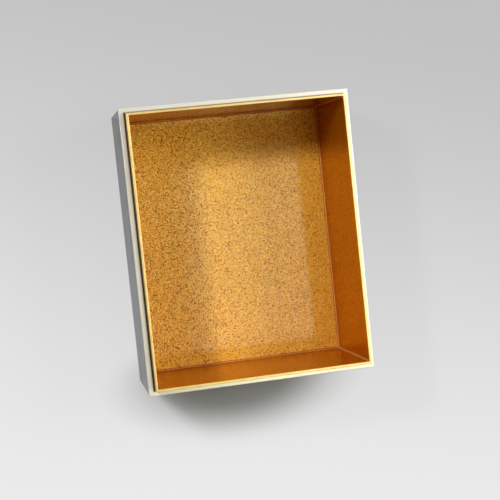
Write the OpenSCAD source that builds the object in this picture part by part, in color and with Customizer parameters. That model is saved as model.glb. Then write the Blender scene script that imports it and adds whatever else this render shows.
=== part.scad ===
// Open lacquer paper box: a mitred wooden carcass, lined with thin boards that stand up
// past the walls as a gilt lip, with a metal rim on the walls for a flush lid to sit on.
// The origin is the middle of the footprint on the table; +X is right, +Y is back, +Z is up.

/* [Box] */
// Width over the wall boards, left to right
box_w = 330; // [240:1:420]
// Length over the wall boards, front to back
box_l = 406; // [300:1:520]
// Height from the table to the top of the metal rim, where a lid would rest
seat_h = 152; // [90:1:220]
// Height of the gilt lip above the metal rim
lip_h = 19; // [8:0.5:30]

/* [Boards] */
// Thickness of the four wall boards
wall_t = 8; // [7:0.5:12]
// Thickness of the four lining boards, which is also the thickness of the lip
lining_t = 3.6; // [2.6:0.1:6]
// Thickness of the bottom board
bottom_t = 4.5; // [3:0.5:8]
// Height of the foot edge that the walls leave below the bottom board
foot_h = 1.5; // [0.5:0.1:4]
// Depth of the rebate in the walls that takes the bottom board
rebate_d = 4; // [3.5:0.5:5]
// Rounding of the upright outer edges
edge_r = 1.5; // [0.5:0.1:2.5]
// Chamfer along the outer edge of the foot
foot_chamfer = 0.8; // [0.3:0.1:1.5]
// Rounding of the two top edges of the lip
lip_r = 0.8; // [0.3:0.1:1.2]

/* [Metal rim] */
// Thickness of the plate that lies on top of the walls
rim_t = 1.2; // [0.8:0.1:2]
// Width of the groove left open between the plate and the lip
rim_gap = 1; // [0.5:0.1:2]
// Height of the flange that is folded down over the outer faces of the walls
flange_h = 3; // [1.5:0.5:6]
// Thickness of the flange
flange_t = 0.8; // [0.6:0.1:1.5]
// Distance that the flange stands out from the wall
flange_proud = 0.25; // [0.1:0.05:0.5]
// Rounding of the outer top edge of the rim
rim_r = 0.8; // [0.3:0.1:1]

/* [Coves] */
// Radius of the filled coves in the inner corners
cove_r = 3; // [2:0.5:6]
// Thickness that a cove runs out to at its edges
cove_edge = 0.2; // [0.1:0.05:0.3]
// Distance from the top of the lip to the tops of the upright coves
cove_drop = 1.5; // [1.3:0.1:4]

/* [Splines and pegs] */
// Thickness of the hidden splines across the mitres
spline_t = 2; // [1:0.5:2.5]
// Width of a spline, half of it in each wall
spline_w = 5; // [3:0.5:6]
// Wood left above and below a spline
spline_cover = 10; // [5:1:20]
// Diameter of the bamboo pegs that hold the bottom board
peg_d = 2; // [1.5:0.1:2.5]
// Length of a peg
peg_l = 18; // [12:1:25]
// Greatest spacing of the pegs along a wall
peg_pitch = 65; // [40:5:90]
// Distance from a corner to the first peg
peg_inset = 35; // [25:1:60]

/* [Hidden] */
// Round pieces are drawn with this many sides
$fn = 64;
// Heights of the main levels
floor_z = foot_h + bottom_t;
wall_top = seat_h - rim_t;
lip_top = seat_h + lip_h;
// Distance from the outer face of a wall to the inner face of its lining
inner_y = wall_t + lining_t;
// Depth of the rebate for the flange in the outer face of a wall
flange_seat = flange_t - flange_proud;
// Radius of the hollow in a cove
hollow_r = cove_r - cove_edge;
// Overlap of a cutting shape past the face that it cuts
cut = 1;
// Finish colours
black_lacquer = [0.09, 0.09, 0.10];
gold_lacquer = [0.76, 0.52, 0.22];
amber_lacquer = [0.66, 0.38, 0.12];
rim_metal = [0.90, 0.88, 0.83];
bare_wood = [0.82, 0.69, 0.48];
bamboo = [0.79, 0.68, 0.38];
// Turns from the front side to each of the four sides
front = 0;
right = 90;
back = 180;
left = 270;
sides = [front, right, back, left];

// True for the two sides that run along X
function along_x(side) = side % 180 == 0;
// Length over the walls of one side
function run(side) = along_x(side) ? box_w : box_l;
// Distance from the middle of the box to the outer face of one side
function reach(side) = (along_x(side) ? box_l : box_w) / 2;
// Number of pegs along one side
function peg_count(side) = 1 + ceil((run(side) - 2 * peg_inset) / peg_pitch);
// Places of the pegs along one side
function peg_places(side) =
  let (n = peg_count(side), span = run(side) - 2 * peg_inset)
  [for (i = [0 : n - 1]) -span / 2 + span * i / (n - 1)];

// Sets its children on one side of the box. Their own x runs along the side, their y
// goes inwards from the outer face of the wall, and their z is the height.
module on_side(side) {
  rotate(side) translate([0, -reach(side), 0]) children();
}

// Extrudes a section drawn in y and z along the whole of one side
module along_side(length) {
  rotate([90, 0, 90]) linear_extrude(length, center = true) children();
}

// Cuts that part of an outline which lies outside a rounding at its corner
module corner_waste(r) {
  difference() {
    square(r + cut);
    circle(r);
  }
}

// Plan of everything on one side that lies between its two mitres. The outer corners
// stand out from the wall by a set distance and are rounded.
module mitred_plan(side, out, corner_r) {
  half = run(side) / 2;
  difference() {
    polygon([
      [-half - out, -out], [half + out, -out],
      [half - inner_y - cut, inner_y + cut], [-half + inner_y + cut, inner_y + cut]
    ]);
    if (corner_r > 0)
      for (end = [0, 1])
        mirror([end, 0])
          translate([half + out - corner_r, corner_r - out])
            mirror([0, 1]) corner_waste(corner_r);
  }
}

// Runs a section along one side and mitres both its ends
module mitred_strip(side, out = 0, corner_r = 0) {
  intersection() {
    along_side(run(side) + 2 * out) children();
    translate([0, 0, -cut]) linear_extrude(lip_top + 2 * cut) mitred_plan(side, out, corner_r);
  }
}

// The spline across the mitre at the right-hand end of one side
module spline_body(side) {
  height = wall_top - flange_h - floor_z - 2 * spline_cover;
  middle = (wall_t + flange_seat) / 2;
  translate([run(side) / 2 - middle, middle, floor_z + spline_cover])
    rotate(45)
      translate([-spline_w / 2, -spline_t / 2, 0]) cube([spline_w, spline_t, height]);
}

// The pegs under one side
module peg_row(side) {
  for (x = peg_places(side))
    translate([x, wall_t - rebate_d / 2, foot_h]) cylinder(d = peg_d, h = peg_l);
}

// Bottom board: lies in the rebate of the walls, pegged from below
module bottom_board() {
  margin = wall_t - rebate_d;
  color(amber_lacquer)
    difference() {
      translate([margin - box_w / 2, margin - box_l / 2, foot_h])
        cube([box_w - 2 * margin, box_l - 2 * margin, bottom_t]);
      for (side = sides) on_side(side) peg_row(side);
    }
}

// Bamboo pegs, driven up through the bottom board into the walls
module bottom_pegs() {
  color(bamboo) for (side = sides) on_side(side) peg_row(side);
}

// Section of a wall board: foot edge, rebate for the bottom, rebate for the rim's flange
module wall_section() {
  flange_z = wall_top - flange_h;
  polygon([
    [foot_chamfer, 0], [wall_t - rebate_d, 0], [wall_t - rebate_d, floor_z],
    [wall_t, floor_z], [wall_t, wall_top], [flange_seat, wall_top],
    [flange_seat, flange_z], [0, flange_z], [0, foot_chamfer]
  ]);
}

// Wall board: mitred, grooved for its splines and bored for its pegs
module wall_board(side) {
  color(black_lacquer)
    on_side(side)
      difference() {
        mitred_strip(side, corner_r = edge_r) wall_section();
        spline_body(side);
        mirror([1, 0, 0]) spline_body(side);
        peg_row(side);
      }
}

// Hidden hardwood spline at the right-hand end of one side
module corner_spline(side) {
  color(bare_wood) on_side(side) spline_body(side);
}

// Section of a lining board: stands on the bottom board and ends in the rounded lip
module lining_section() {
  difference() {
    translate([wall_t, floor_z]) square([lining_t, lip_top - floor_z]);
    translate([inner_y - lip_r, lip_top - lip_r]) corner_waste(lip_r);
    translate([wall_t + lip_r, lip_top - lip_r]) mirror([1, 0]) corner_waste(lip_r);
  }
}

// Lining board: mitred, glued to the inside of its wall
module lining_board(side) {
  color(gold_lacquer) on_side(side) mitred_strip(side) lining_section();
}

// Section of the metal rim: plate on the wall, flange over its outer face
module rim_section() {
  difference() {
    union() {
      translate([-flange_proud, wall_top])
        square([wall_t - rim_gap + flange_proud, rim_t]);
      translate([-flange_proud, wall_top - flange_h])
        square([flange_t, flange_h]);
    }
    translate([rim_r - flange_proud, seat_h - rim_r]) mirror([1, 0]) corner_waste(rim_r);
  }
}

// Metal rim strip: mitred, seated on the wall and in its rebate
module rim_strip(side) {
  color(rim_metal)
    on_side(side)
      mitred_strip(side, out = flange_proud, corner_r = edge_r + flange_proud) rim_section();
}

// Floor cove: filler along the foot of one lining board, between two corner coves
module floor_cove(side) {
  length = run(side) - 2 * (inner_y + cove_r);
  color(amber_lacquer)
    on_side(side)
      along_side(length)
        translate([inner_y, floor_z])
          difference() {
            square(cove_r);
            translate([cove_r, cove_r]) circle(hollow_r);
          }
}

// Corner cove: filler up the right-hand corner of one side, with a round hollow at its foot
module corner_cove(side) {
  height = lip_top - cove_drop - floor_z;
  color(amber_lacquer)
    on_side(side)
      translate([run(side) / 2 - inner_y, inner_y, floor_z])
        mirror([1, 0, 0])
          difference() {
            cube([cove_r, cove_r, height]);
            translate([cove_r, cove_r, cove_r]) cylinder(r = hollow_r, h = height);
            translate([cove_r, cove_r, cove_r]) sphere(r = hollow_r);
          }
}

bottom_board();
bottom_pegs();
wall_board(front);  // wall_front
wall_board(right);  // wall_right
wall_board(back);  // wall_back
wall_board(left);  // wall_left
corner_spline(front);  // spline_front_right
corner_spline(right);  // spline_back_right
corner_spline(back);  // spline_back_left
corner_spline(left);  // spline_front_left
lining_board(front);  // lining_front
lining_board(right);  // lining_right
lining_board(back);  // lining_back
lining_board(left);  // lining_left
rim_strip(front);  // rim_front
rim_strip(right);  // rim_right
rim_strip(back);  // rim_back
rim_strip(left);  // rim_left
floor_cove(front);  // floor_cove_front
floor_cove(right);  // floor_cove_right
floor_cove(back);  // floor_cove_back
floor_cove(left);  // floor_cove_left
corner_cove(front);  // corner_cove_front_right
corner_cove(right);  // corner_cove_back_right
corner_cove(back);  // corner_cove_back_left
corner_cove(left);  // corner_cove_front_left
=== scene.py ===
import math

import bmesh
import bpy
from mathutils import Matrix, Vector


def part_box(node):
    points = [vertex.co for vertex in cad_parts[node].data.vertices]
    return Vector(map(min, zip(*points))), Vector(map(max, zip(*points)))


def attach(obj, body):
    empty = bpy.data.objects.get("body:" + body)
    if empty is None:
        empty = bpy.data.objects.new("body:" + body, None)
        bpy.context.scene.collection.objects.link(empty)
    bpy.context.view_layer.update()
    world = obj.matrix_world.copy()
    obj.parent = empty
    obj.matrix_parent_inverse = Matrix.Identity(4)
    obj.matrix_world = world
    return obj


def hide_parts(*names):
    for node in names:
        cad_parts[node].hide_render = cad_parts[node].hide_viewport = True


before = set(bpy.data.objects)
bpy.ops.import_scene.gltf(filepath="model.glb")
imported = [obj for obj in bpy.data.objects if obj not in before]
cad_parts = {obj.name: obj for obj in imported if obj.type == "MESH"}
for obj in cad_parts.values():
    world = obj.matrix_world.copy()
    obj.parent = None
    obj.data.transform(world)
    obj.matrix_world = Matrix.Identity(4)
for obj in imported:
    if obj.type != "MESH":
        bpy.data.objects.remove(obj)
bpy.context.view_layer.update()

# Bottom board
# One thin board of cypress that lies in a rebate of the walls. Its upper face is sprinkled with
# gold flakes under amber lacquer, and its underside is rubbed black lacquer.
mm = 0.001
board_low, board_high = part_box("bottom_board")
board_soft_edge = 0.3 * mm
soft_edge_segments = 2
peg_swell = 0.05 * mm
facing_up = 0.5
floor_ground = (0.40, 0.12, 0.003, 1)
floor_deep_gold = (0.84, 0.36, 0.012, 1)
floor_pale_gold = (0.98, 0.64, 0.095, 1)
FLOOR_TONES = (floor_ground, floor_deep_gold, floor_pale_gold)
floor_specular = 0.25
under_roughness = 0.30


def feed(tree, socket, value):
    """Links an input to another node's output, or sets it to a plain value."""
    if isinstance(value, bpy.types.NodeSocket):
        tree.links.new(value, socket)
    else:
        socket.default_value = value


def add_node(tree, kind, inputs=None, **settings):
    """Adds one shader node, sets its options, and links or sets its inputs."""
    node = tree.nodes.new(kind)
    for key, value in settings.items():
        setattr(node, key, value)
    for key, value in (inputs or {}).items():
        feed(tree, node.inputs[key], value)
    return node


def math_node(tree, operation, *values):
    """The result of one Math node."""
    node = add_node(tree, "ShaderNodeMath", dict(enumerate(values)), operation=operation)
    return node.outputs[0]


def vector_node(tree, operation, *values):
    """A Vector Math node, whose result is its first or second output."""
    return add_node(tree, "ShaderNodeVectorMath", dict(enumerate(values)), operation=operation)


def blend_colours(tree, share, first, second):
    """A colour that goes from the first to the second as share goes from 0 to 1."""
    inputs = {0: share, 6: first, 7: second}
    return add_node(tree, "ShaderNodeMix", inputs, data_type="RGBA").outputs[2]


def ramp_value(tree, value, low, high, start=0.0, end=1.0):
    """A value that goes smoothly from start to end as the input goes from low to high."""
    inputs = {"Value": value, "From Min": low, "From Max": high, "To Min": start, "To Max": end}
    node = add_node(tree, "ShaderNodeMapRange", inputs, interpolation_type="SMOOTHSTEP")
    return node.outputs["Result"]


def between(tree, share, start, end):
    """A value that goes evenly from start to end as share goes from 0 to 1."""
    return math_node(tree, "MULTIPLY_ADD", share, end - start, start)


def noise(tree, coords, scale, detail=3.0, roughness=0.55):
    """A noise value from 0 to 1, with scale features to the metre."""
    inputs = {"Vector": coords, "Scale": scale, "Detail": detail, "Roughness": roughness}
    return add_node(tree, "ShaderNodeTexNoise", inputs).outputs[0]


def new_group(name, inputs, outputs):
    """A shader node group with named sockets. Returns it with its input and output nodes."""
    group = bpy.data.node_groups.new(name, "ShaderNodeTree")
    for label, kind in inputs:
        group.interface.new_socket(label, in_out="INPUT", socket_type="NodeSocket" + kind)
    for label, kind in outputs:
        group.interface.new_socket(label, in_out="OUTPUT", socket_type="NodeSocket" + kind)
    return group, group.nodes.new("NodeGroupInput"), group.nodes.new("NodeGroupOutput")


def use_group(tree, group, **inputs):
    """A shared node group in a material, with _ for a space in a socket's name."""
    node = tree.nodes.new("ShaderNodeGroup")
    node.node_tree = group
    for key, value in inputs.items():
        feed(tree, node.inputs[key.replace("_", " ")], value)
    return node


def surface_of(material):
    """The surface shader of a material."""
    return material.node_tree.nodes["Principled BSDF"]


def new_material(name):
    """A node material with its tree, its surface shader and the object coordinates."""
    material = bpy.data.materials.new(name)
    material.use_nodes = True
    tree = material.node_tree
    coords = tree.nodes.new("ShaderNodeTexCoord").outputs["Object"]
    return material, tree, surface_of(material), coords


def set_inputs(shader, **values):
    """Sets plain numbers and colours on a shader, with _ for a space in a socket's name."""
    for key, value in values.items():
        shader.inputs[key.replace("_", " ")].default_value = value


def bump(tree, height):
    """A normal from a height in metres."""
    inputs = {"Height": height, "Strength": 1.0, "Distance": 1.0}
    return add_node(tree, "ShaderNodeBump", inputs).outputs["Normal"]


def link_relief(tree, shader, pattern, height):
    """Gives a shader the relief of a pattern, with the height in metres where the pattern is 1."""
    rise = math_node(tree, "MULTIPLY", pattern, height)
    tree.links.new(bump(tree, rise), shader.inputs["Normal"])


flakes_per_metre = 820.0
flake_edge = (0.66, 0.92)
clumps_per_metre = 600.0
noise_middle = 0.5
draw_middle = (0.5, 0.5, 0.5)
sunk_gloss = 0.35
deep_gloss = 0.5
gloss_clumping = 3.0


def make_flake_group():
    """Gold flakes strewn on a dark ground. Each flake has its own tilt and its own depth in the
    amber lacquer: near the surface it is pale and shines, and farther down it is deep amber."""
    group, given, result = new_group(
        "strewn_flakes",
        [("Vector", "Vector"), ("Flakes per Metre", "Float"), ("Cover", "Float"),
         ("Clumping", "Float"), ("Ground", "Color"), ("Deep Gold", "Color"),
         ("Pale Gold", "Color"), ("Tilt", "Float")],
        [("Color", "Color"), ("Flake", "Float"), ("Near", "Float"), ("Gloss", "Float"),
         ("Height", "Float")])
    place = given.outputs["Vector"]
    scale = given.outputs["Flakes per Metre"]
    cells = add_node(group, "ShaderNodeTexVoronoi", {"Vector": place, "Scale": scale})
    draw = add_node(group, "ShaderNodeSeparateColor", {"Color": cells.outputs["Color"]})
    lies = math_node(group, "LESS_THAN", draw.outputs["Red"], given.outputs["Cover"])
    shape = ramp_value(group, cells.outputs["Distance"], *flake_edge, 1.0, 0.0)
    flake = math_node(group, "MULTIPLY", lies, shape)
    near = draw.outputs["Green"]
    tone = blend_colours(group, near, given.outputs["Deep Gold"], given.outputs["Pale Gold"])
    colour = blend_colours(group, flake, given.outputs["Ground"], tone)
    cloud = noise(group, place, clumps_per_metre, detail=2.0)
    clumps = math_node(group, "SUBTRACT", cloud, noise_middle)
    shade = math_node(group, "MULTIPLY_ADD", clumps, given.outputs["Clumping"], 1.0)
    shaded = vector_node(group, "SCALE", colour)
    group.links.new(shade, shaded.inputs["Scale"])
    sunk = ramp_value(group, flake, 0.0, 1.0, sunk_gloss, 1.0)
    dull = math_node(group, "MULTIPLY_ADD", clumps, gloss_clumping, 1.0)
    gloss = math_node(group, "MULTIPLY", sunk, dull)
    gloss = math_node(group, "MULTIPLY", gloss, math_node(group, "ADD", near, deep_gloss))
    offset = vector_node(group, "SUBTRACT", place, cells.outputs["Position"]).outputs[0]
    lean = vector_node(group, "SUBTRACT", cells.outputs["Color"], draw_middle).outputs[0]
    rise = vector_node(group, "DOT_PRODUCT", offset, lean).outputs["Value"]
    height = math_node(group, "MULTIPLY", rise, given.outputs["Tilt"])
    group.links.new(shaded.outputs[0], result.inputs["Color"])
    group.links.new(flake, result.inputs["Flake"])
    group.links.new(near, result.inputs["Near"])
    group.links.new(gloss, result.inputs["Gloss"])
    group.links.new(height, result.inputs["Height"])
    return group


strewn_flakes = make_flake_group()
coat_roughness = 0.10
coat_ior = 1.7


def gold_flake_lacquer(name, tones, *, cover, clumping, deep_metal, near_metal, roughness, tilt, coat):
    """Gold flakes in amber lacquer. The two shares of metal, the roughness and the tilt say how much
    like a mirror the flakes lie. The clear coat is duller where it sinks in between the flakes, and
    a coat of 0 leaves it out."""
    material, tree, shader, coords = new_material(name)
    ground, deep_gold, pale_gold = tones
    flakes = use_group(tree, strewn_flakes, Vector=coords, Flakes_per_Metre=flakes_per_metre,
                       Cover=cover, Clumping=clumping, Ground=ground, Deep_Gold=deep_gold,
                       Pale_Gold=pale_gold, Tilt=tilt)
    tree.links.new(flakes.outputs["Color"], shader.inputs["Base Color"])
    metal = ramp_value(tree, flakes.outputs["Near"], 0.0, 1.0, deep_metal, near_metal)
    metal = math_node(tree, "MULTIPLY", flakes.outputs["Flake"], metal)
    tree.links.new(metal, shader.inputs["Metallic"])
    gloss = math_node(tree, "MULTIPLY", flakes.outputs["Gloss"], coat)
    tree.links.new(gloss, shader.inputs["Coat Weight"])
    tree.links.new(bump(tree, flakes.outputs["Height"]), shader.inputs["Normal"])
    set_inputs(shader, Roughness=roughness, Coat_Roughness=coat_roughness, Coat_IOR=coat_ior)
    return material


def make_edge_group():
    """How near a point of the outside lies to an edge of the box, from 0 far off to 1 on it."""
    group, given, result = new_group(
        "edge_nearness",
        [("Vector", "Vector"), ("Half Width", "Float"), ("Half Length", "Float"),
         ("Top", "Float"), ("Reach", "Float")],
        [("Edge", "Float")])
    split = add_node(group, "ShaderNodeSeparateXYZ", {"Vector": given.outputs["Vector"]})
    x, y, z = split.outputs
    side = math_node(group, "SUBTRACT", given.outputs["Half Width"], math_node(group, "ABSOLUTE", x))
    end = math_node(group, "SUBTRACT", given.outputs["Half Length"], math_node(group, "ABSOLUTE", y))
    level = math_node(group, "MINIMUM", z, math_node(group, "SUBTRACT", given.outputs["Top"], z))
    nearer = math_node(group, "MINIMUM", side, end)
    farther = math_node(group, "MAXIMUM", side, end)
    second = math_node(group, "MAXIMUM", nearer, math_node(group, "MINIMUM", farther, level))
    edge = ramp_value(group, second, 0.0, given.outputs["Reach"], 1.0, 0.0)
    group.links.new(edge, result.inputs["Edge"])
    return group


smears_per_metre = 22.0
smear_range = (0.48, 0.70)
dust_per_metre = 900.0
dust_range = (0.62, 0.72)
dust_share = 0.6


def make_handling_group():
    """Faint smears and fine dust of a polished surface that has been handled, as one mask."""
    group, given, result = new_group(
        "handling_marks", [("Vector", "Vector"), ("Amount", "Float")], [("Marks", "Float")])
    place = given.outputs["Vector"]
    smear = ramp_value(group, noise(group, place, smears_per_metre, detail=4.0), *smear_range)
    dust = ramp_value(group, noise(group, place, dust_per_metre, detail=2.0), *dust_range)
    both = math_node(group, "MAXIMUM", smear, math_node(group, "MULTIPLY", dust, dust_share))
    marks = math_node(group, "MULTIPLY", both, given.outputs["Amount"])
    group.links.new(marks, result.inputs["Marks"])
    return group


edge_nearness = make_edge_group()
handling_marks = make_handling_group()
black = (0.0055, 0.0050, 0.0055, 1)
black_worn = (0.045, 0.020, 0.010, 1)
black_ior = 1.52
worn_edge_w = 1.6 * mm
wear_per_metre = 120.0
wear_range = (0.42, 0.68)
worn_roughness = 0.2
handled_roughness = 0.10
waves_per_metre = 26.0
wave_h = 0.05 * mm
beyond_wear = 0.1


def black_lacquer(name, half_width, half_length, top, polish):
    """Black lacquer, brown where its edges are rubbed thin. Polish is its roughness when clean."""
    material, tree, shader, coords = new_material(name)
    edge = use_group(tree, edge_nearness, Vector=coords, Half_Width=half_width,
                     Half_Length=half_length, Top=top, Reach=worn_edge_w).outputs["Edge"]
    patchy = ramp_value(tree, noise(tree, coords, wear_per_metre, detail=5.0), *wear_range)
    worn = math_node(tree, "MULTIPLY", edge, patchy)
    tree.links.new(blend_colours(tree, worn, black, black_worn), shader.inputs["Base Color"])
    marks = use_group(tree, handling_marks, Vector=coords, Amount=handled_roughness).outputs["Marks"]
    roughness = math_node(tree, "ADD", marks, polish)
    roughness = math_node(tree, "MULTIPLY_ADD", worn, worn_roughness, roughness)
    tree.links.new(roughness, shader.inputs["Roughness"])
    link_relief(tree, shader, noise(tree, coords, waves_per_metre, detail=1.0), wave_h)
    set_inputs(shader, IOR=black_ior)
    return material


sharp_angle = math.radians(35)


def soften(bm, edges, radius, segments):
    """Rounds off edges of a bmesh."""
    bmesh.ops.bevel(bm, geom=edges, offset=radius, segments=segments, profile=0.5,
                    affect="EDGES", material=-1)


def finish_piece(bm, name, slot, materials, *nodes):
    """Turns a bmesh into a piece of the box that stands for its CAD nodes."""
    bmesh.ops.recalc_face_normals(bm, faces=bm.faces)
    for face in bm.faces:
        face.smooth = True
    for edge in bm.edges:
        edge.smooth = edge.calc_face_angle(math.pi) < sharp_angle
    mesh = bpy.data.meshes.new(name)
    bm.to_mesh(mesh)
    bm.free()
    for material in materials:
        mesh.materials.append(material)
    piece = bpy.data.objects.new(name, mesh)
    bpy.context.scene.collection.objects.link(piece)
    normals = piece.modifiers.new("face_weighted_normals", "WEIGHTED_NORMAL")
    normals.keep_sharp = True
    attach(piece, "root")
    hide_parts(*nodes)
    return piece


def dress_node(name, material):
    """Gives a CAD node that keeps its own shape its finish."""
    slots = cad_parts[name].data.materials
    slots.clear()
    slots.append(material)


floor_lacquer = gold_flake_lacquer("gold_flake_floor", FLOOR_TONES, cover=0.86, clumping=1.1,
                                   deep_metal=0.0, near_metal=0.4, roughness=0.4, tilt=1.0, coat=0.54)
set_inputs(surface_of(floor_lacquer), Specular_IOR_Level=floor_specular)
under_lacquer = black_lacquer("black_lacquer_underside", board_high.x, board_high.y,
                              board_high.z + beyond_wear, under_roughness)
board_under = board_low + Vector((0, 0, peg_swell))
bm = bmesh.new()
bmesh.ops.create_cube(bm, size=1)
bmesh.ops.scale(bm, vec=board_high - board_under, verts=bm.verts)
bmesh.ops.translate(bm, vec=(board_high + board_under) / 2, verts=bm.verts)
soften(bm, bm.edges, board_soft_edge, soft_edge_segments)
bm.normal_update()
for face in bm.faces:
    face.material_index = 0 if face.normal.z > facing_up else 1
finish_piece(bm, "bottom_board_lacquered", "gold_flake_floor",
             [floor_lacquer, under_lacquer], "bottom_board")

# Bamboo pegs
# Thin round pegs of split bamboo, driven up through the bottom board into the walls. Their lower
# ends are cut flush and lacquered over with the underside, and have swollen a hair past it.
bamboo_pale = (0.66, 0.47, 0.24, 1)
bamboo_fibre = (0.34, 0.20, 0.085, 1)
bamboo_roughness = 0.5
bamboo_lacquered_roughness = 0.3
fibre_stretch = (1.0, 1.0, 0.03)
fibres_per_metre = 4200.0
fibre_range = (0.42, 0.62)
fibre_h = 0.02 * mm
peg_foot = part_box("bottom_pegs")[0].z
peg_lacquered_h = 0.3 * mm
peg_lacquer_fade = 0.2 * mm


def bamboo(name, lacquered_to):
    """Split bamboo with its fibres upright, black where the underside's lacquer covers it."""
    material, tree, shader, coords = new_material(name)
    stretched = vector_node(tree, "MULTIPLY", coords, fibre_stretch).outputs[0]
    fibres = ramp_value(tree, noise(tree, stretched, fibres_per_metre, detail=2.0), *fibre_range)
    wood = blend_colours(tree, fibres, bamboo_pale, bamboo_fibre)
    height = add_node(tree, "ShaderNodeSeparateXYZ", {"Vector": coords}).outputs["Z"]
    covered = ramp_value(tree, height, lacquered_to, lacquered_to + peg_lacquer_fade, 1.0, 0.0)
    tree.links.new(blend_colours(tree, covered, wood, black), shader.inputs["Base Color"])
    roughness = between(tree, covered, bamboo_roughness, bamboo_lacquered_roughness)
    tree.links.new(roughness, shader.inputs["Roughness"])
    link_relief(tree, shader, fibres, fibre_h)
    return material


dress_node("bottom_pegs", bamboo("bamboo_pegs", peg_foot + peg_lacquered_h))

# Wall boards
# Four mitred boards that make the outer case, one to a side. The outside is black lacquer, rubbed
# and polished until it mirrors the room.
SIDES = ("front", "right", "back", "left")
wall_low, wall_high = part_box("wall_front")
half_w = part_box("wall_right")[1].x
half_l = -wall_low.y
wall_top = wall_high.z
outer_roughness = 0.05
outer_lacquer = black_lacquer("black_lacquer_outside", half_w, half_l, wall_top + beyond_wear,
                              outer_roughness)
for side in SIDES:
    dress_node("wall_" + side, outer_lacquer)

# Corner splines
# Hidden strips of cypress that lock the mitres of the walls, one to a corner. Each is glued into a
# groove that runs up its mitre, so nothing of it shows.
cypress_pale = (0.72, 0.55, 0.35, 1)
cypress_late = (0.52, 0.34, 0.18, 1)
cypress_roughness = 0.65
cypress_late_roughness = 0.55
ring_stretch = (1.0, 1.0, 0.02)
rings_per_metre = 700.0
ring_range = (0.40, 0.64)
ring_h = 0.03 * mm


def bare_cypress(name):
    """Straight-grained cypress, with its grain upright."""
    material, tree, shader, coords = new_material(name)
    stretched = vector_node(tree, "MULTIPLY", coords, ring_stretch).outputs[0]
    rings = ramp_value(tree, noise(tree, stretched, rings_per_metre, detail=3.0), *ring_range)
    tree.links.new(blend_colours(tree, rings, cypress_pale, cypress_late), shader.inputs["Base Color"])
    roughness = between(tree, rings, cypress_roughness, cypress_late_roughness)
    tree.links.new(roughness, shader.inputs["Roughness"])
    link_relief(tree, shader, rings, ring_h)
    return material


spline_wood = bare_cypress("bare_cypress")
CORNERS = ("front_right", "back_right", "back_left", "front_left")
for corner in CORNERS:
    dress_node("spline_" + corner, spline_wood)

# Lining boards
# Four thin mitred boards inside the walls. They stand up past the walls as a lip. Their inside is
# gold flake lacquer, the lip's round top is gilt with gold powder, and its outer face, where a lid
# slides, is satin brown lacquer.
lining_low, lining_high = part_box("lining_front")
lining_t = lining_high.y - lining_low.y
lining_inset = lining_low.y - wall_low.y
lip_r = 0.8 * mm
lip_segments = 5
flat_face = 0.999
lining_ground = (0.18, 0.038, 0.001, 1)
lining_deep_gold = (0.55, 0.146, 0.001, 1)
lining_pale_gold = (0.83, 0.35, 0.002, 1)
LINING_TONES = (lining_ground, lining_deep_gold, lining_pale_gold)
lining_edge_amber = (1.0, 0.92, 0.34, 1)
RUN_AND_REACH = {"front": (2 * half_w, half_l), "right": (2 * half_l, half_w),
                 "back": (2 * half_w, half_l), "left": (2 * half_l, half_w)}


def mitred_strip(section, run):
    """A bar of one section, mitred at both ends. In the section y counts inward from the wall's
    outer face, and z up from the foot. Run is the length that y = 0 has between the mitres."""
    bm = bmesh.new()
    corners = [bm.verts.new((run / 2, y, z)) for y, z in section]
    grown = bmesh.ops.extrude_face_region(bm, geom=[bm.faces.new(corners)])["geom"]
    far_end = [v for v in grown if isinstance(v, bmesh.types.BMVert)]
    bmesh.ops.translate(bm, vec=(-run, 0, 0), verts=far_end)
    for v in bm.verts:
        v.co.x = math.copysign(run / 2 - v.co.y, v.co.x)
    bmesh.ops.recalc_face_normals(bm, faces=bm.faces)
    return bm


def long_edges(bm, chosen):
    """The edges that run along a strip and whose place in its section is chosen."""
    return [e for e in bm.edges
            if abs(e.verts[0].co.x - e.verts[1].co.x) > half_w / 2 and chosen(e.verts[0].co)]


def put_on_side(bm, side):
    """Turns a strip to its side of the box and moves it there."""
    reach = RUN_AND_REACH[side][1]
    turn = Matrix.Rotation(math.radians(90 * SIDES.index(side)), 4, "Z")
    bmesh.ops.transform(bm, matrix=turn @ Matrix.Translation((0, -reach, 0)), verts=bm.verts)


gilt_pale = (0.97, 0.74, 0.34, 1)
gilt_deep = (0.86, 0.60, 0.22, 1)
gilt_rubbed = (0.34, 0.13, 0.04, 1)
powder_per_metre = 2600.0
powder_share = 0.6
powder_h = 0.04 * mm
gilt_clouds_per_metre = 60.0
gilt_tone_range = (0.35, 0.65)
rubs_per_metre = 190.0
rub_range = (0.66, 0.74)
gilt_metal = 0.9
rubbed_metal = 0.1
gilt_roughness = (0.28, 0.53)


def gilding(name):
    """Gold powder on lacquer: matt and grainy, rubbed to red lacquer in a few places."""
    material, tree, shader, coords = new_material(name)
    powder = noise(tree, coords, powder_per_metre, detail=4.0, roughness=0.7)
    cloud = noise(tree, coords, gilt_clouds_per_metre, detail=3.0)
    cloud = math_node(tree, "MULTIPLY", cloud, 1.0 - powder_share)
    tone = math_node(tree, "MULTIPLY_ADD", powder, powder_share, cloud)
    gold = blend_colours(tree, ramp_value(tree, tone, *gilt_tone_range), gilt_deep, gilt_pale)
    rubbed = ramp_value(tree, noise(tree, coords, rubs_per_metre, detail=6.0, roughness=0.7), *rub_range)
    tree.links.new(blend_colours(tree, rubbed, gold, gilt_rubbed), shader.inputs["Base Color"])
    tree.links.new(between(tree, rubbed, gilt_metal, rubbed_metal), shader.inputs["Metallic"])
    tree.links.new(between(tree, powder, *gilt_roughness), shader.inputs["Roughness"])
    link_relief(tree, shader, powder, powder_h)
    return material


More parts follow.
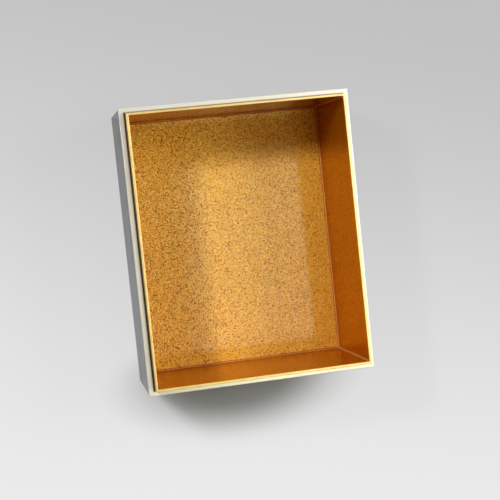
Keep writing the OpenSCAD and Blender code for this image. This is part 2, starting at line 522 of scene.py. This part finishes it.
lip_brown = (0.12, 0.056, 0.013, 1)
lip_rubbed = (0.22, 0.115, 0.030, 1)
lid_marks_stretch = (1.0, 1.0, 0.06)
lid_marks_per_metre = 650.0
lid_mark_range = (0.45, 0.75)
lid_mark_h = 0.01 * mm
lip_roughness = (0.45, 0.60)
lip_specular = 0.25


def satin_brown(name):
    """Thin brown lacquer with upright rubbing marks from a lid."""
    material, tree, shader, coords = new_material(name)
    stretched = vector_node(tree, "MULTIPLY", coords, lid_marks_stretch).outputs[0]
    marks = noise(tree, stretched, lid_marks_per_metre, detail=4.0, roughness=0.65)
    marks = ramp_value(tree, marks, *lid_mark_range)
    tree.links.new(blend_colours(tree, marks, lip_brown, lip_rubbed), shader.inputs["Base Color"])
    tree.links.new(between(tree, marks, *lip_roughness), shader.inputs["Roughness"])
    link_relief(tree, shader, marks, lid_mark_h)
    set_inputs(shader, Specular_IOR_Level=lip_specular)
    return material


lining_lacquer = gold_flake_lacquer("gold_flake_lining", LINING_TONES, cover=0.90, clumping=2.3,
                                    deep_metal=0.85, near_metal=0.85, roughness=0.15, tilt=0.2, coat=0.0)
set_inputs(surface_of(lining_lacquer), Specular_Tint=lining_edge_amber)
lip_gilding = gilding("gilt_lip")
lip_face = satin_brown("lip_outer_face")
for side in SIDES:
    outer = lining_inset
    inner = lining_inset + lining_t
    section = [(outer, lining_low.z), (inner, lining_low.z),
               (inner, lining_high.z), (outer, lining_high.z)]
    bm = mitred_strip(section, RUN_AND_REACH[side][0])
    soften(bm, long_edges(bm, lambda co: co.z > wall_top), lip_r, lip_segments)
    bm.normal_update()
    for face in bm.faces:
        face.material_index = 0 if face.normal.y > flat_face else 2 if face.normal.y < -flat_face else 1
    put_on_side(bm, side)
    finish_piece(bm, "lining_board_" + side, "gold_flake_lining",
                 [lining_lacquer, lip_gilding, lip_face], "lining_" + side)

# Metal rim
# Four strips of pale tin alloy that lie on the wall tops round the lip, as the seat of a lid. Each
# is folded down over the outer face and mitred and soldered at the corners.
rim_low, rim_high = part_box("rim_front")
rim_middle_z = (wall_top + rim_high.z) / 2
rim_inner = rim_high.y - wall_low.y
rim_proud = wall_low.y - rim_low.y
flange_t = 0.8 * mm
rim_fold_r = 0.8 * mm
rim_fold_segments = 5
rim_edge_r = 0.15 * mm
tin_pale = (0.91, 0.87, 0.79, 1)
tin_warm = (0.86, 0.80, 0.69, 1)
tin_seam = (0.22, 0.20, 0.17, 1)
# The brown of the painted shade beside the lip.
tin_lip_shade = (0.17, 0.10, 0.03, 1)
tin_metal = 0.55
mitre_seam_w = 0.10 * mm
lip_shade_w = 2.4 * mm
tarnish_per_metre = 45.0
tarnish_range = (0.45, 0.85)
tarnish_roughness = 0.04
draw_marks_per_metre = 3000.0
draw_mark_h = 0.002 * mm
tin_roughness = (0.28, 0.34)
drawn_along_x = (0.02, 1.0, 1.0)
drawn_along_y = (1.0, 0.02, 1.0)


def pale_tin(name, stretch):
    """Burnished tin alloy with fine marks along its length, warm tarnish, a painted brown shade in the
    angle beside the lip and dark mitre seams."""
    material, tree, shader, coords = new_material(name)
    tarnish = noise(tree, coords, tarnish_per_metre, detail=5.0, roughness=0.65)
    tarnish = ramp_value(tree, tarnish, *tarnish_range)
    metal = blend_colours(tree, tarnish, tin_pale, tin_warm)
    split = add_node(tree, "ShaderNodeSeparateXYZ", {"Vector": coords})
    across = math_node(tree, "SUBTRACT", math_node(tree, "ABSOLUTE", split.outputs["X"]), half_w)
    along = math_node(tree, "SUBTRACT", math_node(tree, "ABSOLUTE", split.outputs["Y"]), half_l)
    inward = math_node(tree, "MAXIMUM", across, along)
    # Painted shade: the metal turns brown near the lip, standing in for the lip's shadow and its
    # reflection.
    lip_shade = ramp_value(tree, inward, -rim_inner, lip_shade_w - rim_inner, 1.0, 0.0)
    metal = blend_colours(tree, lip_shade, metal, tin_lip_shade)
    seam = math_node(tree, "COMPARE", across, along, mitre_seam_w)
    tree.links.new(blend_colours(tree, seam, metal, tin_seam), shader.inputs["Base Color"])
    drawn = vector_node(tree, "MULTIPLY", coords, stretch).outputs[0]
    marks = noise(tree, drawn, draw_marks_per_metre, detail=3.0, roughness=0.7)
    roughness = between(tree, marks, *tin_roughness)
    roughness = math_node(tree, "MULTIPLY_ADD", tarnish, tarnish_roughness, roughness)
    tree.links.new(roughness, shader.inputs["Roughness"])
    link_relief(tree, shader, marks, draw_mark_h)
    set_inputs(shader, Metallic=tin_metal)
    return material


def at_fold(co):
    """Whether an edge of a rim strip is the one along its fold."""
    return co.y < 0 and co.z > rim_middle_z


def at_cut_edge(co):
    """Whether an edge of a rim strip is one of the two cut edges that show."""
    beside_lip = co.y > rim_inner - rim_edge_r and co.z > rim_middle_z
    below_fold = co.y < 0 and co.z < rim_low.z + rim_edge_r
    return beside_lip or below_fold


rim_along_x = pale_tin("pale_metal_along_x", drawn_along_x)
rim_along_y = pale_tin("pale_metal_along_y", drawn_along_y)
RIM_METAL = {"front": rim_along_x, "right": rim_along_y, "back": rim_along_x, "left": rim_along_y}
for side in SIDES:
    section = [(-rim_proud, rim_low.z), (flange_t - rim_proud, rim_low.z),
               (flange_t - rim_proud, wall_top), (rim_inner, wall_top),
               (rim_inner, rim_high.z), (-rim_proud, rim_high.z)]
    bm = mitred_strip(section, RUN_AND_REACH[side][0])
    soften(bm, long_edges(bm, at_fold), rim_fold_r, rim_fold_segments)
    soften(bm, long_edges(bm, at_cut_edge), rim_edge_r, soft_edge_segments)
    put_on_side(bm, side)
    finish_piece(bm, "rim_strip_" + side, "pale_metal", [RIM_METAL[side]], "rim_" + side)

# Coves
# Soft fillets of lacquer paste that round off the angle of floor and lining and the four inner
# corners. They are strewn with gold flakes, and carry a painted pale highlight along the middle.
# Pale tones for the painted highlight along each cove's middle.
cove_ground = (0.36, 0.12, 0.016, 1)
cove_deep_gold = (0.60, 0.27, 0.055, 1)
cove_pale_gold = (0.84, 0.47, 0.15, 1)
COVE_HIGHLIGHT_TONES = (cove_ground, cove_deep_gold, cove_pale_gold)
cove_edge_amber = (0.46, 0.135, 0.003, 1)
cove_highlight_lean = (0.40, 0.66)


def paint_cove_highlight(material):
    """Paints a pale highlight along a cove's middle, where its face leans evenly to two sides, from the
    cove's own tones, and lets the amber of the boards run in from its edges."""
    tree = material.node_tree
    shader = surface_of(material)
    flakes = shader.inputs["Base Color"].links[0].from_socket
    facing = tree.nodes.new("ShaderNodeNewGeometry").outputs["Normal"]
    facing = vector_node(tree, "ABSOLUTE", facing).outputs[0]
    x, y, z = add_node(tree, "ShaderNodeSeparateXYZ", {"Vector": facing}).outputs
    lesser = math_node(tree, "MINIMUM", x, y)
    greater = math_node(tree, "MAXIMUM", x, y)
    lean = math_node(tree, "MAXIMUM", lesser, math_node(tree, "MINIMUM", greater, z))
    middle = ramp_value(tree, lean, *cove_highlight_lean)
    tree.links.new(blend_colours(tree, middle, cove_edge_amber, flakes), shader.inputs["Base Color"])


cove_lacquer = gold_flake_lacquer("amber_filler", COVE_HIGHLIGHT_TONES, cover=1.0, clumping=0.9,
                                  deep_metal=0.3, near_metal=0.3, roughness=0.55, tilt=0.6, coat=0.0)
paint_cove_highlight(cove_lacquer)
for side in SIDES:
    dress_node("floor_cove_" + side, cove_lacquer)
for corner in CORNERS:
    dress_node("corner_cove_" + corner, cove_lacquer)

# Stage
# A plain pale floor, a small key lamp from the back left, a large soft lamp from the right, two wide
# panels overhead, even light from all round, and the camera. The floor glows to the camera, and a
# little in reflections, except in an oval along the front of the box, where its shadow stays deep.
stage_half = 6.0
stage_near = (0.54, 0.54, 0.573, 1)
stage_far = (0.25, 0.25, 0.253, 1)
stage_roughness = 0.9
stage_specular = 0.1
# The floor's colour and its glow fade darker towards the back and the right: a painted fall-off of
# light.
stage_fade = (-0.50, 0.45)
stage_fade_way = (0.26, 0.966, 0.0)
stage_glow_near = (0.92, 0.92, 0.92, 1)
stage_glow_far = (0.59, 0.59, 0.59, 1)
stage_glow_share = 0.78
stage_glow_mirrored = 0.25
shadow_squash = (0.45, 1.0, 1.0)
shadow_spot = (-0.008, -0.222, 0.0)
shadow_reach = (0.03, 0.10)

bm = bmesh.new()
bmesh.ops.create_grid(bm, x_segments=1, y_segments=1, size=stage_half)
mesh = bpy.data.meshes.new("stage_floor")
bm.to_mesh(mesh)
bm.free()
stage_floor = bpy.data.objects.new("stage_floor", mesh)
bpy.context.scene.collection.objects.link(stage_floor)
material, tree, shader, coords = new_material("stage_paper")
backward = vector_node(tree, "DOT_PRODUCT", coords, stage_fade_way).outputs["Value"]
fade = ramp_value(tree, backward, *stage_fade)
tree.links.new(blend_colours(tree, fade, stage_near, stage_far), shader.inputs["Base Color"])
set_inputs(shader, Roughness=stage_roughness, Specular_IOR_Level=stage_specular)
glow_colour = blend_colours(tree, fade, stage_glow_near, stage_glow_far)
paper_glow = add_node(tree, "ShaderNodeEmission", {"Color": glow_colour}).outputs["Emission"]
ray = tree.nodes.new("ShaderNodeLightPath").outputs
mirrored = math_node(tree, "MAXIMUM", ray["Is Glossy Ray"], ray["Is Transmission Ray"])
mirrored = math_node(tree, "MULTIPLY", mirrored, stage_glow_mirrored)
seen = math_node(tree, "MAXIMUM", ray["Is Camera Ray"], mirrored)
squashed = vector_node(tree, "MULTIPLY", coords, shadow_squash).outputs[0]
from_shadow = vector_node(tree, "DISTANCE", squashed, shadow_spot).outputs["Value"]
share = ramp_value(tree, from_shadow, *shadow_reach, 0.0, stage_glow_share)
share = math_node(tree, "MULTIPLY", seen, share)
paper_layers = {0: share, 1: shader.outputs["BSDF"], 2: paper_glow}
paper = add_node(tree, "ShaderNodeMixShader", paper_layers).outputs["Shader"]
tree.links.new(paper, tree.nodes["Material Output"].inputs["Surface"])
mesh.materials.append(material)

lip_corner_x = lining_inset + lining_t - half_w
lip_corner_y = half_l - lining_inset - lining_t
lip_corner = Vector((lip_corner_x, lip_corner_y, lining_high.z))
key_shadow_corner = Vector((-0.042, 0.118, board_high.z))
key_distance = 2.1
key_size = (0.36, 0.22)
key_power = 31.8
soft_place = Vector((1.35, 0.35, 1.35))
soft_size = (1.0, 1.0)
soft_power = 27.0
panel_z = 2.1
panel_back = 0.16
panel_depth = 1.0
panel_w = 0.75
panel_seam_x = 0.20
left_panel_power = 1.5
right_panel_power = 6.9
panel_colour = (1.0, 0.97, 0.65)


def area_lamp(name, place, aim, size, power):
    """A rectangular soft lamp that faces a point."""
    light = bpy.data.lights.new(name, "AREA")
    light.shape = "RECTANGLE"
    light.size, light.size_y = size
    light.energy = power
    lamp = bpy.data.objects.new(name, light)
    lamp.location = place
    lamp.rotation_euler = (aim - place).to_track_quat("-Z", "Y").to_euler()
    lamp.visible_camera = False
    bpy.context.scene.collection.objects.link(lamp)
    return lamp


key_direction = (lip_corner - key_shadow_corner).normalized()
area_lamp("key_lamp", key_shadow_corner + key_distance * key_direction, key_shadow_corner,
          key_size, key_power)
area_lamp("soft_lamp", soft_place, Vector((0, 0, board_high.z)), soft_size, soft_power)
for name, x, power in (("left_panel", panel_seam_x - panel_w / 2, left_panel_power),
                       ("right_panel", panel_seam_x + panel_w / 2, right_panel_power)):
    place = Vector((x, panel_back - panel_depth / 2, panel_z))
    panel = area_lamp(name, place, place - Vector((0, 0, 1)), (panel_w, panel_depth), power)
    panel.data.color = panel_colour

overhead_glow = 0.03
horizon_glow = 0.4
sky_fade = (0.05, 0.65)
world = bpy.data.worlds.new("studio")
world.use_nodes = True
tree = world.node_tree
look_up = tree.nodes.new("ShaderNodeTexCoord").outputs["Generated"]
look_up = add_node(tree, "ShaderNodeSeparateXYZ", {"Vector": look_up}).outputs["Z"]
sky_glow = ramp_value(tree, look_up, *sky_fade, horizon_glow, overhead_glow)
tree.links.new(sky_glow, tree.nodes["Background"].inputs["Strength"])
set_inputs(tree.nodes["Background"], Color=(1, 1, 1, 1))
bpy.context.scene.world = world
bpy.context.scene.view_settings.view_transform = "Standard"

camera_place = Vector((-0.29274, 0.07541, 1.76731))
camera_aim = Vector((-0.00393, -0.01204, 0.171))
camera_turn = math.radians(6.04)
camera_lens = 83.026
camera = bpy.data.cameras.new("camera")
camera.lens = camera_lens
camera_object = bpy.data.objects.new("camera", camera)
bpy.context.scene.collection.objects.link(camera_object)
sight = (camera_aim - camera_place).normalized()
picture_up = Vector((math.sin(camera_turn), math.cos(camera_turn), 0))
picture_right = sight.cross(picture_up).normalized()
picture_up = picture_right.cross(sight)
turned = Matrix((picture_right, picture_up, -sight)).transposed().to_4x4()
camera_object.matrix_world = Matrix.Translation(camera_place) @ turned
bpy.context.scene.camera = camera_object
